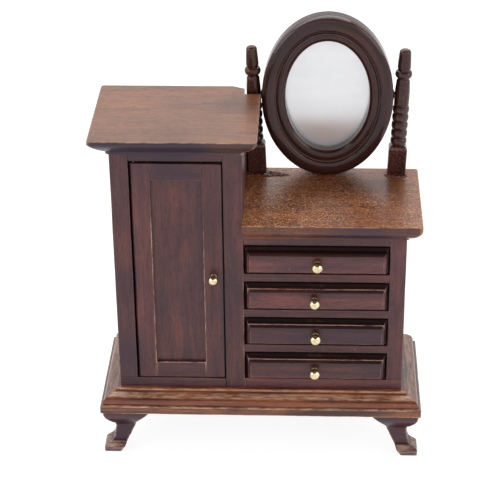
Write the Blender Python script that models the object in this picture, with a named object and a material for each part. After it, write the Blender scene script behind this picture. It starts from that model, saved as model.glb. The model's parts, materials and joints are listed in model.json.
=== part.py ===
"""Miniature dressing table: a cupboard beside four drawers, with an oval mirror between two posts.

Sizes are in metres. +Z is up, the front faces -Y, and the origin is on the ground, at the middle of
the outline. Pieces that touch keep a small gap, GAP.
"""
from collections import namedtuple
from math import cos, pi, radians, sin

import bmesh
import bpy
from mathutils import Matrix, Vector

MM = 0.001
GAP = 0.3 * MM

# Overall outline
WIDTH = 112.4 * MM
BACK_Y = 23.1 * MM
LEG_HEIGHT = 17.0 * MM
PLINTH_HEIGHT = 7.2 * MM
PLINTH_PROUD = 6.8 * MM                # the plinth stands this far outside the carcass
LOWER_TOP_Z = 91.3 * MM
CORNICE_Z = 122.4 * MM

# Carcass planks
BODY_X = WIDTH / 2 - PLINTH_PROUD      # outer faces of the carcass
BODY_Y = -15.8 * MM                    # its front face
CASE_Y = BODY_Y + 0.3 * MM             # the drawer side stands a touch behind the cupboard side
BODY_Z = LEG_HEIGHT + PLINTH_HEIGHT
BACK_T = 1.8 * MM
BOTTOM_T = 3.5 * MM
LEFT_SIDE_T = 6.0 * MM
PARTITION_X = -5.8 * MM                # the face of the partition on the drawers' side
PARTITION_T = 6.1 * MM
RIGHT_SIDE_T = 5.2 * MM
RAIL_DEPTH = 4.0 * MM

# Cornice and lower top
CORNICE_T = 6.85 * MM
CORNICE_PROUD = 6.35 * MM
CORNICE_PROUD_RIGHT = 5.35 * MM
LOWER_TOP_T = 7.0 * MM
LOWER_TOP_PROUD = 5.2 * MM
LOWER_TOP_PROUD_RIGHT = 4.95 * MM
NOTCH_X = PARTITION_X - 0.3 * MM       # the cornice is notched round the left post
NOTCH_REACH = 3.6 * MM                 # how far the notch goes in front of the post's axis
NOTCH_CHAMFER = (4.0 * MM, 2.0 * MM)

# Door
DOOR_TOP_RAIL_Z = 112.5 * MM           # the underside of the rail above the door
DOOR_T = 2.6 * MM
DOOR_RECESS = 0.2 * MM
DOOR_SIDE_GAP = 0.55 * MM
DOOR_TOP_GAP = 1.0 * MM
DOOR_BOTTOM_GAP = 0.4 * MM
DOOR_STILE_W = 6.6 * MM
DOOR_RAIL_W = 6.2 * MM
REBATE_W = 1.4 * MM
REBATE_FRONT_T = 1.1 * MM              # wood left in front of the panel
PANEL_T = 1.0 * MM
DOOR_KNOB_Z = 69.0 * MM
DOOR_KNOB_INSET = 3.3 * MM             # from the closing edge
HINGE_PIN_R = 0.5 * MM
HINGE_PIN_L = 4.0 * MM
HINGE_PIN_REACH = 1.7 * MM             # how far a hinge pin reaches into the door

# Drawers, counted from the top
DRAWERS = 4
OPENING_H = 11.05 * MM
DIVIDER_T = 3.1 * MM
FRONT_SIDE_GAP = 0.4 * MM
FRONT_TOP_GAP = 0.6 * MM
FRONT_PROUD = 2.8 * MM                 # the raised field stands this far in front of the case
FRONT_BACK = 1.8 * MM                  # and the back of the drawer front this far behind it
WALL_T = 1.2 * MM
WALL_H = 8.6 * MM
DRAWER_LENGTH = 32.0 * MM
DRAWER_BOTTOM_T = 1.0 * MM
WALL_INSET = 0.2 * MM                  # the drawer box is this much narrower at each side

# Knobs
KNOB_R = 1.85 * MM
KNOB_NECK_L = 1.1 * MM
KNOB_NECK_R = 0.8 * MM
SPIGOT_R = 0.6 * MM
SPIGOT_L = 2.2 * MM
DOOR_KNOB_SCALE = 0.92
KNOB_HOLE_L = 12.0 * MM
DRAWER_KNOB_RISE = 0.4 * MM            # above the middle of the drawer front

# Mirror and posts
MIRROR_X = 22.3 * MM
PIVOT_Z = 121.0 * MM
POST_Y = 20.2 * MM
MIRROR_A = 22.45 * MM                  # half width and half height of the frame
MIRROR_B = 29.1 * MM
MIRROR_FRONT = 15.7 * MM               # the front and the thickness of the frame
MIRROR_T = 7.4 * MM
FRAME_SIDE_W = 8.05 * MM               # from the frame's outer edge to the glass, at its sides
FRAME_TOP_W = 9.0 * MM                 # and at its top and bottom
LIP_DEPTH = 5.2 * MM
GLASS_REBATE = 7.4 * MM                # rebates for the glass and the back board
BACK_REBATE = 6.2 * MM
GLASS_T = 0.6 * MM
POST_BLOCK_W = 6.4 * MM
POSTS = {                              # turned by hand, so the two differ; see Post
    "left": (-1.75 * MM, 11.5, 9.3, 1.0, (2.2, 2.7)),
    "right": (46.6 * MM, 10.7, 9.2, 1.05, (2.55, 2.85)),
}
POST_SPLAY = 2.3                       # degrees that each post leans outwards
POST_BLOCK_D = 5.0 * MM
BLOCK_TAPER = 0.72                     # the block's chamfered top, as a share of its width
BARREL_START = 15.2                    # above the block, in millimetres, as is the profile
RING_PITCH = 3.0
PIVOT_PIN_R = 1.1 * MM
PIVOT_PIN_IN_FRAME = 2.2 * MM
PIVOT_PIN_IN_POST = 1.6 * MM

# Foot, seen from the front: distances inwards from the plinth's edge
FOOT_W = 16.9 * MM
FOOT_INSET = 0.5 * MM

# A post: place of its foot, then in millimetres the height of its block, the length of its barrel,
# its girth as a share of the left one's, and the smallest and largest radius of its rings.
Post = namedtuple("Post", "foot_x block_h barrel_l girth ring_radii")

FINISHES = {                           # colour, roughness, metallic
    "case": ((0.095, 0.042, 0.032), 0.32, 0.0),
    "top": ((0.17, 0.072, 0.038), 0.38, 0.0),
    "turned": ((0.05, 0.022, 0.017), 0.22, 0.0),
    "inner": ((0.30, 0.18, 0.10), 0.6, 0.0),
    "brass": ((0.80, 0.58, 0.22), 0.2, 1.0),
    "mirror": ((0.9, 0.9, 0.92), 0.05, 1.0),
}


# --- Small tools ------------------------------------------------------------------------------

def clear_scene():
    for old in list(bpy.data.objects):
        bpy.data.objects.remove(old, do_unlink=True)


def add(name, mesh, at=(0, 0, 0), parent=None, rotation=(0, 0, 0)):
    """Put a mesh in the scene at a world place, under a parent that has no rotation."""
    obj = bpy.data.objects.new(name, mesh)
    bpy.context.scene.collection.objects.link(obj)
    obj.parent = parent
    obj.location = Vector(at) - (parent.location if parent else Vector())
    obj.rotation_euler = rotation
    return obj


def paint(obj, finish):
    colour, roughness, metallic = FINISHES[finish]
    material = bpy.data.materials.new(f"{obj.name}_{finish}")
    material.use_nodes = True
    shader = material.node_tree.nodes["Principled BSDF"]
    shader.inputs["Base Color"].default_value = (*colour, 1)
    shader.inputs["Roughness"].default_value = roughness
    shader.inputs["Metallic"].default_value = metallic
    obj.data.materials.append(material)
    return obj


def pivot(name, at):
    empty = bpy.data.objects.new(name, None)
    empty.empty_display_size = 5 * MM
    empty.location = at
    bpy.context.scene.collection.objects.link(empty)
    return empty


def mesh_from(name, build, smooth=False):
    """Make a mesh with a function that fills a bmesh, and turn its faces outwards."""
    mesh = bpy.data.meshes.new(name)
    bm = bmesh.new()
    build(bm)
    bmesh.ops.recalc_face_normals(bm, faces=bm.faces)
    bm.to_mesh(mesh)
    bm.free()
    if smooth:
        mesh.shade_smooth()
        mesh.set_sharp_from_angle(angle=radians(35))
    return mesh


def loft(bm, loops):
    """Join closed loops of points, all the same length, and cap the first and the last."""
    rings = [[bm.verts.new(point) for point in loop] for loop in loops]
    for ring, following in zip(rings, rings[1:]):
        for i in range(len(ring)):
            j = (i + 1) % len(ring)
            bm.faces.new((ring[i], ring[j], following[j], following[i]))
    bm.faces.new(rings[0])
    bm.faces.new(rings[-1])


def spin(bm, profile, segments):
    """Turn a profile of (radius, height) about Z; it starts and ends on the axis."""
    ends = [bm.verts.new((0, 0, height)) for _, height in (profile[0], profile[-1])]
    turns = [2 * pi * k / segments for k in range(segments)]
    rings = [[bm.verts.new((r * cos(t), r * sin(t), h)) for t in turns] for r, h in profile[1:-1]]
    for k in range(segments):
        j = (k + 1) % segments
        bm.faces.new((ends[0], rings[0][k], rings[0][j]))
        bm.faces.new((ends[1], rings[-1][j], rings[-1][k]))
        for ring, following in zip(rings, rings[1:]):
            bm.faces.new((ring[k], following[k], following[j], ring[j]))


def plank(name, x, y, z, finish, parent=None):
    """A board between pairs of x, y and z values."""
    low, high = Vector((x[0], y[0], z[0])), Vector((x[1], y[1], z[1]))

    def build(bm):
        bmesh.ops.create_cube(bm, size=1, matrix=Matrix.Diagonal((*(high - low), 1)))
    return paint(add(name, mesh_from(name, build), (low + high) / 2, parent), finish)


def rod_mesh(name, radius, length, segments):
    """A round rod along Z with its middle at the origin."""
    def build(bm):
        bmesh.ops.create_cone(bm, cap_ends=True, segments=segments, depth=length,
                              radius1=radius, radius2=radius)
    return mesh_from(name, build, smooth=True)


def combine(target, other, operation):
    """Cut or join one object with another, which then only serves as a guide."""
    modifier = target.modifiers.new(f"{operation.lower()}_{other.name}", "BOOLEAN")
    modifier.operation = operation
    modifier.solver = "EXACT"
    modifier.object = other
    other.hide_render = True
    other.display_type = "WIRE"


def drill(target, name, at, radius, depth, rotation=(0, 0, 0), parent=None, segments=16):
    """Drill a hole whose middle is at a world place; the cutter stands on Z unless rotated."""
    cutter = add(name, rod_mesh(name, radius, depth, segments), at, parent, rotation)
    combine(target, cutter, "DIFFERENCE")


def arc(centre, radii, start, end, steps):
    """Points on an ellipse's arc, with its angles in degrees."""
    angles = [radians(start + (end - start) * k / steps) for k in range(steps + 1)]
    return [(centre[0] + radii[0] * cos(a), centre[1] + radii[1] * sin(a)) for a in angles]


def bezier(p0, p1, p2, p3, steps):
    """Points along a cubic curve, without its first point."""
    points = []
    for k in range(1, steps + 1):
        t = k / steps
        weights = ((1 - t) ** 3, 3 * t * (1 - t) ** 2, 3 * t * t * (1 - t), t ** 3)
        points.append(tuple(sum(w * p[axis] for w, p in zip(weights, (p0, p1, p2, p3)))
                            for axis in (0, 1)))
    return points


def scaled(points):
    return [(a * MM, b * MM) for a, b in points]


# --- Plinth and feet --------------------------------------------------------------------------

def plinth_profile():
    """The moulding's section: distance in front of the carcass, and height above the legs."""
    ovolo = arc((2.5, 3.4), (3.4, 2.4), 0, 90, 6)
    return scaled([(0, 0), (6.8, 0), (6.8, 2.7), (6.5, 3.0), (5.9, 3.0), *ovolo,
                   (2.1, 6.0), (1.7, 6.1), (1.7, 6.8), (1.4, 7.0), (0, 7.0)])


def plinth():
    z0 = LEG_HEIGHT
    plank("base_board", (-BODY_X + GAP, BODY_X - GAP), (BODY_Y + GAP, BACK_Y),
          (z0, BODY_Z - GAP), "case")
    profile = plinth_profile()

    def front(bm):
        loft(bm, [[(side * (BODY_X + p), BODY_Y - p, z0 + h) for p, h in profile]
                  for side in (-1, 1)])
    paint(add("plinth_moulding_front", mesh_from("plinth_moulding_front", front)), "case")
    for side, label in ((-1, "left"), (1, "right")):
        def flank(bm, side=side):
            mitre = [(side * (BODY_X + p), BODY_Y - p + GAP, z0 + h) for p, h in profile]
            back = [(x, BACK_Y, z) for x, _, z in mitre]
            loft(bm, [mitre, back])
        name = f"plinth_moulding_{label}"
        paint(add(name, mesh_from(name, flank)), "case")


def foot_outline():
    """The foot's outline: distance in from its outer top corner, and height above the ground."""
    knee = bezier((0.2, 15.6), (0.5, 13.9), (1.4, 12.6), (2.6, 11.2), 6)
    neck = bezier((2.6, 11.2), (3.2, 10.2), (4.5, 10.4), (4.0, 7.2), 6)
    toe = bezier((3.6, 5.4), (3.4, 3.2), (2.0, 3.2), (0.5, 2.5), 5)
    leg = [(5.9, 0), (7.0, 1.4), (9.3, 5.2), (11.2, 9.2), (11.6, 11.0)]
    bracket = bezier((11.6, 11.0), (12.9, 13.2), (15.0, 14.8), (16.9, 16.7), 4)
    return scaled([(0.1, 16.7), (0.2, 15.6), *knee, *neck, (3.6, 5.4), *toe, (0.2, 1.6), (0.2, 0.4),
                   (0.5, 0), *leg, *bracket])


def foot(label, side, end):
    """One foot: the same outline sawn through from the front and from the side."""
    outline = foot_outline()
    corner_x = side * (WIDTH / 2 - FOOT_INSET)
    front_y = BODY_Y - PLINTH_PROUD + FOOT_INSET
    corner_y = front_y if end < 0 else BACK_Y - FOOT_INSET
    reach = (-GAP, FOOT_W + GAP)

    def seen_from_front(bm):
        loft(bm, [[(corner_x - side * d, corner_y - end * depth, h) for d, h in outline]
                  for depth in reach])

    def seen_from_side(bm):
        loft(bm, [[(corner_x - side * depth, corner_y - end * d, h) for d, h in outline]
                  for depth in reach])
    name = f"foot_{label}"
    body = add(name, mesh_from(name, seen_from_front))
    combine(body, add(f"{name}_side_cut", mesh_from(f"{name}_side_cut", seen_from_side)),
            "INTERSECT")
    paint(body, "case")


# --- Carcass and tops -------------------------------------------------------------------------

def drawer_floor(number):
    """The height of the surface that a drawer runs on, counted from the top."""
    return BODY_Z + BOTTOM_T + (DRAWERS - number) * (OPENING_H + DIVIDER_T)


def carcass():
    depth = (BODY_Y, BACK_Y - BACK_T - GAP)
    case_depth = (CASE_Y, depth[1])
    floor_z = BODY_Z + BOTTOM_T
    cup_top = CORNICE_Z - CORNICE_T - GAP
    case_top = LOWER_TOP_Z - LOWER_TOP_T - GAP
    partition = (PARTITION_X - PARTITION_T, PARTITION_X)
    cupboard_x = (-BODY_X + LEFT_SIDE_T + GAP, partition[0] - GAP)
    case_x = (PARTITION_X + GAP, BODY_X - RIGHT_SIDE_T - GAP)

    plank("cupboard_side", (-BODY_X, -BODY_X + LEFT_SIDE_T), depth, (floor_z + GAP, cup_top), "case")
    plank("partition", partition, depth, (BODY_Z, cup_top), "case")
    plank("case_side", (BODY_X - RIGHT_SIDE_T, BODY_X), case_depth, (floor_z + GAP, case_top), "case")
    floor = plank("cupboard_bottom", (-BODY_X, cupboard_x[1]), depth, (BODY_Z, floor_z), "case")
    plank("case_bottom", (case_x[0], BODY_X), case_depth, (BODY_Z, floor_z), "case")
    rail = plank("cupboard_top_rail", cupboard_x, (BODY_Y, BODY_Y + RAIL_DEPTH),
                 (DOOR_TOP_RAIL_Z, cup_top), "case")
    plank("case_top_rail", case_x, (CASE_Y, CASE_Y + RAIL_DEPTH),
          (drawer_floor(1) + OPENING_H, case_top), "case")
    for number in range(1, DRAWERS):
        top = drawer_floor(number)
        plank(f"drawer_divider_{number}", case_x, case_depth, (top - DIVIDER_T, top), "case")
    back_panel(cup_top, case_top)
    return floor, rail


def back_panel(cup_top, case_top):
    """One thin sheet closes the cupboard and the drawer case, with a step where they meet."""
    outline = [(-BODY_X, BODY_Z), (BODY_X, BODY_Z), (BODY_X, case_top), (PARTITION_X, case_top),
               (PARTITION_X, cup_top), (-BODY_X, cup_top)]

    def build(bm):
        loft(bm, [[(x, y, z) for x, z in outline] for y in (BACK_Y - BACK_T, BACK_Y)])
    paint(add("back_panel", mesh_from("back_panel", build)), "inner")


def cornice():
    """The cupboard's top, with an ovolo on three sides and a notch round the left post."""
    notch_y, (chamfer_x, chamfer_y) = POST_Y - NOTCH_REACH, NOTCH_CHAMFER
    section = [(6.15, 0), (6.35, -0.2), (6.35, -1.1)]
    section += bezier((6.35, -1.1), (6.1, -2.2), (3.6, -4.3), (1.3, -5.8), 7)
    section += [(1.0, -5.95), (1.0, -6.85)]
    right_share = CORNICE_PROUD_RIGHT / CORNICE_PROUD

    def loop(proud, z):
        left, front, right = -BODY_X - proud, BODY_Y - proud, PARTITION_X + proud * right_share
        return [(left, BACK_Y, z), (left, front, z), (right, front, z), (right, notch_y, z),
                (NOTCH_X, notch_y, z), (NOTCH_X, BACK_Y - chamfer_y, z),
                (NOTCH_X - chamfer_x, BACK_Y, z)]

    def build(bm):
        loft(bm, [loop(p, CORNICE_Z + h) for p, h in scaled(section)])
    paint(add("cornice", mesh_from("cornice", build)), "top")


def lower_top():
    """The top over the drawers, with an ovolo at its front and its right end."""
    section = [(5.0, 0), (5.2, -0.2), (5.2, -1.7)]
    section += bezier((5.2, -1.7), (4.9, -3.6), (3.3, -5.0), (1.2, -6.3), 6)
    section += [(0.8, -6.4), (0.8, -7.0)]
    right_share = LOWER_TOP_PROUD_RIGHT / LOWER_TOP_PROUD
    left = PARTITION_X + GAP

    def loop(proud, z):
        right, front = BODY_X + proud * right_share, CASE_Y - proud
        return [(left, BACK_Y, z), (left, front, z), (right, front, z), (right, BACK_Y, z)]

    def build(bm):
        loft(bm, [loop(p, LOWER_TOP_Z + h) for p, h in scaled(section)])
    paint(add("lower_top", mesh_from("lower_top", build)), "top")


# --- Knobs ------------------------------------------------------------------------------------

def knob_mesh(name, scale):
    """A ball on a short neck, with a spigot below; the wood's face is at height 0."""
    centre = (KNOB_NECK_L + KNOB_R) * scale
    ball = arc((0, centre), (KNOB_R * scale, KNOB_R * scale), -64, 90, 9)
    profile = [(0, -SPIGOT_L), (SPIGOT_R, -SPIGOT_L), (SPIGOT_R, GAP), (KNOB_NECK_R * 1.4, GAP),
               (KNOB_NECK_R * 1.4, 2 * GAP), (KNOB_NECK_R, 3 * GAP), *ball[:-1], (0, ball[-1][1])]

    def build(bm):
        spin(bm, profile, 14)
    return mesh_from(name, build, smooth=True)


def knob(name, target, at, parent, scale=1.0):
    """Fit a knob into a drilled hole of the piece that carries it; it points to the front."""
    forward = (pi / 2, 0, 0)
    drill(target, f"{name}_hole", at, SPIGOT_R + GAP, KNOB_HOLE_L, forward, parent, 12)
    paint(add(name, knob_mesh(name, scale), at, parent, forward), "brass")


# --- Door -------------------------------------------------------------------------------------

def door(floor, rail):
    left = -BODY_X + LEFT_SIDE_T + DOOR_SIDE_GAP
    right = PARTITION_X - PARTITION_T - DOOR_SIDE_GAP
    bottom, top = BODY_Z + BOTTOM_T + DOOR_BOTTOM_GAP, DOOR_TOP_RAIL_Z - DOOR_TOP_GAP
    face = BODY_Y + DOOR_RECESS
    axis = Vector((left + DOOR_T / 2, face + DOOR_T / 2, (bottom + top) / 2))
    hinge = pivot("door_hinge", axis)
    inner = (left + DOOR_STILE_W, right - DOOR_STILE_W)
    window = (bottom + DOOR_RAIL_W, top - DOOR_RAIL_W)

    stile = door_stile("door_stile_hinge", (left, inner[0]), 1, face, (bottom, top), hinge, True)
    closing = door_stile("door_stile_closing", (right, inner[1]), -1, face, (bottom, top), hinge, False)
    door_rail("door_rail_bottom", inner, (bottom, window[0]), 1, face, hinge)
    door_rail("door_rail_top", inner, (top, window[1]), -1, face, hinge)
    panel_y = face + REBATE_FRONT_T + GAP
    reach = REBATE_W - 2 * GAP
    plank("door_panel", (inner[0] - reach, inner[1] + reach), (panel_y, panel_y + PANEL_T),
          (window[0] - reach, window[1] + reach), "case", hinge)
    knob("door_knob", closing, (right - DOOR_KNOB_INSET, face, DOOR_KNOB_Z), hinge, DOOR_KNOB_SCALE)
    for label, end, side, holder in (("bottom", bottom, 1, floor), ("top", top, -1, rail)):
        z = end + side * (HINGE_PIN_REACH - HINGE_PIN_L / 2)
        place = (axis.x, axis.y, z)
        for target, tag in ((stile, "door"), (holder, "carcass")):
            drill(target, f"hinge_hole_{label}_{tag}", place, HINGE_PIN_R + GAP,
                  HINGE_PIN_L + 2 * GAP, (0, 0, 0), hinge if target is stile else None, 12)
        name = f"hinge_pin_{label}"
        paint(add(name, rod_mesh(name, HINGE_PIN_R, HINGE_PIN_L, 12), place), "brass")


def door_stile(name, x, inward, face, z, hinge, rounded):
    """An upright of the door, rebated at the back for the panel. The hinge edge is half round."""
    outer, inner = x
    back, step = face + DOOR_T, face + REBATE_FRONT_T
    edge = [(outer, face), (outer, back)]
    if rounded:
        half = DOOR_T / 2
        edge = arc((outer + half, face + half), (half, half), 270, 90, 8)
    section = edge + [(inner - inward * REBATE_W, back), (inner - inward * REBATE_W, step),
                      (inner, step), (inner, face)]

    def build(bm):
        loft(bm, [[(px - hinge.location.x, py - hinge.location.y, pz - hinge.location.z)
                   for px, py in section] for pz in z])
    return paint(add(name, mesh_from(name, build), hinge.location, hinge), "case")


def door_rail(name, x, z, upward, face, hinge):
    """A cross piece of the door between the stiles, rebated at the back for the panel."""
    outer, inner = z
    back, step = face + DOOR_T, face + REBATE_FRONT_T
    ledge = inner - upward * REBATE_W
    section = [(face, outer), (back, outer), (back, ledge), (step, ledge), (step, inner), (face, inner)]

    def build(bm):
        loft(bm, [[(px - hinge.location.x, py - hinge.location.y, pz - hinge.location.z)
                   for py, pz in section] for px in (x[0] + GAP, x[1] - GAP)])
    return paint(add(name, mesh_from(name, build), hinge.location, hinge), "case")


# --- Drawers ----------------------------------------------------------------------------------

def drawer(number):
    floor = drawer_floor(number) + GAP
    left = PARTITION_X + FRONT_SIDE_GAP
    right = BODY_X - RIGHT_SIDE_T - FRONT_SIDE_GAP
    front_h = OPENING_H - GAP - FRONT_TOP_GAP
    name = f"drawer_{number}"
    slide = pivot(f"{name}_slide", ((left + right) / 2, CASE_Y, floor))
    front = drawer_front(f"{name}_front", right - left, front_h, slide)

    box_y = CASE_Y + FRONT_BACK + GAP
    back_y = box_y + DRAWER_LENGTH
    outer = (left + WALL_INSET, right - WALL_INSET)
    inner = (outer[0] + WALL_T + GAP, outer[1] - WALL_T - GAP)
    wall_z = (floor, floor + WALL_H)
    plank(f"{name}_side_left", (outer[0], outer[0] + WALL_T), (box_y, back_y), wall_z, "inner", slide)
    plank(f"{name}_side_right", (outer[1] - WALL_T, outer[1]), (box_y, back_y), wall_z, "inner", slide)
    plank(f"{name}_back", inner, (back_y - WALL_T, back_y), wall_z, "inner", slide)
    plank(f"{name}_bottom", inner, (box_y, back_y - WALL_T - GAP),
          (floor + GAP, floor + GAP + DRAWER_BOTTOM_T), "inner", slide)
    knob_z = floor + front_h / 2 + DRAWER_KNOB_RISE
    knob(f"{name}_knob", front, ((left + right) / 2, CASE_Y - FRONT_PROUD, knob_z), slide)


def drawer_front(name, width, height, slide):
    """A front with a raised field: a bevel, a steep step and a second bevel on all four sides."""
    section = [(0, 1.8), (0, 0.6), (0.95, -0.4), (1.15, -1.6), (2.0, -2.8)]

    def loop(inset, y):
        x, low, high = width / 2 - inset, inset, height - inset
        return [(-x, y, low), (x, y, low), (x, y, high), (-x, y, high)]

    def build(bm):
        loft(bm, [loop(inset, y) for inset, y in scaled(section)])
    return paint(add(name, mesh_from(name, build), slide.location, slide), "case")


# --- Mirror and posts -------------------------------------------------------------------------

def oval(shrink, y, segments=48):
    """A loop of the mirror's outline, pulled in from the frame's edge by a distance."""
    turns = [2 * pi * k / segments for k in range(segments)]
    half_w, half_h = MIRROR_A - shrink * FRAME_SIDE_W / FRAME_TOP_W, MIRROR_B - shrink
    return [(half_w * cos(t), y, half_h * sin(t)) for t in turns]


def frame_section():
    """The frame's section at its top: distance in from its outer edge, and depth behind its front."""
    face = [(0.3, 0.7), (1.2, 0.15), (2.6, 0), (4.3, 0.2), (4.9, 0.5)]
    groove = [(5.0, 1.2), (5.5, 1.35)]
    bead = [(5.9, 1.0), (7.0, 0.85), (8.2, 1.2), (9.0, 2.2)]
    rebates = [(9.0, 5.2), (7.4, 5.2), (7.4, 6.4), (6.2, 6.4), (6.2, 7.4)]
    return scaled([(0, 1.4), *face, *groove, *bead, *rebates, (0.5, 7.4), (0, 6.9)])


def mirror():
    centre = Vector((MIRROR_X, POST_Y, PIVOT_Z))
    swing = pivot("mirror_pivot", centre)
    front = MIRROR_FRONT - POST_Y

    def ring(bm):
        loops = [[bm.verts.new(p) for p in oval(d, front + depth)] for d, depth in frame_section()]
        for a, b in zip(loops, loops[1:] + loops[:1]):
            for i in range(len(a)):
                j = (i + 1) % len(a)
                bm.faces.new((a[i], a[j], b[j], b[i]))

    def disc(shrink, near, far):
        return lambda bm: loft(bm, [oval(shrink, front + near), oval(shrink, front + far)])
    frame = add("mirror_frame", mesh_from("mirror_frame", ring, smooth=True), centre, swing)
    paint(frame, "turned")
    glass_near = LIP_DEPTH + GAP
    glass = mesh_from("mirror_glass", disc(GLASS_REBATE + GAP, glass_near, glass_near + GLASS_T))
    paint(add("mirror_glass", glass, centre, swing), "mirror")
    backing = mesh_from("mirror_back", disc(BACK_REBATE + GAP, glass_near + GLASS_T + 2 * GAP, MIRROR_T))
    paint(add("mirror_back", backing, centre, swing), "inner")

    for side, label in ((-1, "left"), (1, "right")):
        pivot_pin(label, side, frame, swing, turned_post(label, side))


def pivot_pin(label, side, frame, swing, post):
    """The pin that the mirror tilts on, from the frame into the post."""
    sizes = Post(*POSTS[label])
    height = PIVOT_Z - LOWER_TOP_Z
    post_x = sizes.foot_x + side * height * sin(radians(POST_SPLAY))
    share = (height / MM - sizes.block_h - BARREL_START) / sizes.barrel_l
    inner = MIRROR_X + side * (MIRROR_A - PIVOT_PIN_IN_FRAME)
    outer = post_x - side * (sizes.girth * barrel_radius(share) * MM - PIVOT_PIN_IN_POST)
    place = ((inner + outer) / 2, POST_Y, PIVOT_Z)
    length = abs(outer - inner)
    along_x = (0, pi / 2, 0)
    name = f"mirror_pin_{label}"
    paint(add(name, rod_mesh(name, PIVOT_PIN_R, length, 16), place, swing, along_x), "turned")
    drill(frame, f"{name}_frame_hole", place, PIVOT_PIN_R + GAP, length + 2 * GAP, along_x, swing)
    drill(post, f"{name}_post_hole", place, PIVOT_PIN_R + GAP, length + 2 * GAP, along_x)


def barrel_radius(share):
    """The radius of a slim post's barrel in millimetres, at a share of its length from below."""
    return 2.45 - 0.25 * share + 0.15 * sin(pi * share)


def bead_points(middle, half, core, peak, steps=4):
    """A turned ring: (radius, height) points bulging from the core radius to the peak."""
    angles = [pi * k / steps for k in range(steps + 1)]
    return [(core + (peak - core) * sin(a), middle - half * cos(a)) for a in angles]


def post_profile(post):
    """The turned part of a post: radii and heights above the lower top, from foot to finial."""
    core, peak = post.ring_radii
    foot_end = [(0, post.block_h - 1.5), (core, post.block_h - 1.5), (core, post.block_h + 0.3)]
    rings = []
    for k in range(5):
        rings += bead_points(post.block_h + 1.7 + RING_PITCH * k, 1.25, core, peak)
    start = post.block_h + BARREL_START
    end = start + post.barrel_l
    barrel = [(barrel_radius(k / 6), start + post.barrel_l * k / 6) for k in range(7)]
    collar = [(2.0, end + 0.3), *bead_points(end + 2.4, 1.3, 2.0, 2.8)]
    finial = [(2.05, end + 4.1), (2.2, end + 4.6), (2.1, end + 7.8), (1.9, end + 10.3)]
    dome = arc((0, end + 10.3), (1.9, 1.2), 0, 90, 4)[1:-1]
    upper = [(post.girth * r, height) for r, height in [*barrel, *collar, *finial, *dome]]
    return scaled([*foot_end, *rings, *upper, (0, end + 11.5)])


def turned_post(label, side):
    """A post: a square block at the foot, then rings, a barrel, a collar and a finial."""
    name = f"post_{label}"
    sizes = Post(*POSTS[label])
    block_h = sizes.block_h * MM
    place = Vector((sizes.foot_x, POST_Y, LOWER_TOP_Z + GAP))
    lean = (0, side * radians(POST_SPLAY), 0)
    half_w, near, far = POST_BLOCK_W / 2, BACK_Y - POST_BLOCK_D - POST_Y, BACK_Y - POST_Y
    shear = sin(radians(POST_SPLAY))

    def block(bm):
        base = [(-half_w, near), (half_w, near), (half_w, far), (-half_w, far)]
        levels = ((0, 1.0), (block_h - 1.0 * MM, 1.0), (block_h, BLOCK_TAPER))
        loft(bm, [[(x * share, y * share, z + (x * side * shear if z == 0 else 0))
                   for x, y in base] for z, share in levels])

    def turned(bm):
        spin(bm, post_profile(sizes), 20)
    post = add(name, mesh_from(name, block), place, None, lean)
    spindle = add(f"{name}_spindle", mesh_from(f"{name}_spindle", turned, True), place, None, lean)
    combine(post, spindle, "UNION")
    return paint(post, "turned")


# --- The object -------------------------------------------------------------------------------

def main():
    clear_scene()
    plinth()
    for end, where in ((-1, "front"), (1, "back")):
        for side, hand in ((-1, "left"), (1, "right")):
            foot(f"{where}_{hand}", side, end)
    floor, rail = carcass()
    cornice()
    lower_top()
    door(floor, rail)
    for number in range(1, DRAWERS + 1):
        drawer(number)
    mirror()


main()
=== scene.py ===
import json
import random
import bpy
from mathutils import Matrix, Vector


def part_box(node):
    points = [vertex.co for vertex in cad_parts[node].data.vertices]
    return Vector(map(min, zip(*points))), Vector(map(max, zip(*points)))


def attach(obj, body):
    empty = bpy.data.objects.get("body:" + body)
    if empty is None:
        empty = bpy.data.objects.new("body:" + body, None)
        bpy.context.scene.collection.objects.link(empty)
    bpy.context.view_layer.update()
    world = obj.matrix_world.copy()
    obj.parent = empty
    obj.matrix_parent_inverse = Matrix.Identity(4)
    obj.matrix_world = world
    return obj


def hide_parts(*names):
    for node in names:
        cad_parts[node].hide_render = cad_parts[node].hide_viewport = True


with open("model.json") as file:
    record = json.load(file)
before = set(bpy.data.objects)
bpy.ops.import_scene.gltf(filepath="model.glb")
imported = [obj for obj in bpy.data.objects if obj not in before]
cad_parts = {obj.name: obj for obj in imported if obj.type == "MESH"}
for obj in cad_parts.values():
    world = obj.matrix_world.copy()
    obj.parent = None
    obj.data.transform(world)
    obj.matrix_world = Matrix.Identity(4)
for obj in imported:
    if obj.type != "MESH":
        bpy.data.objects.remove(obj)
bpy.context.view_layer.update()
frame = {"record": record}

import zlib
from math import atan2, ceil, cos, pi, radians, sin

import bpy
from mathutils import Matrix, Vector, noise

MM = 0.001
BODIES = frame["record"]["behaviour"]["bodies"]
GLUE_REACH = 0.35 * MM          # CAD faces closer than this are glued together

# --- Camera, floor and light ---

VIEW_FROM = Vector((0.01858, -0.52608, 0.36543))
VIEW_DOWN, VIEW_YAW, VIEW_ROLL = 29.231, 2.451, 0.582     # degrees
VIEW_LENS = 125.19
SKY_STRENGTH = 1.35
PAPER_GLOW = 0.85               # the floor is a light table, so that shadows on it stay faint


def put(name, data):
    """A new object in the scene."""
    obj = bpy.data.objects.new(name, data)
    bpy.context.scene.collection.objects.link(obj)
    return obj


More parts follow.
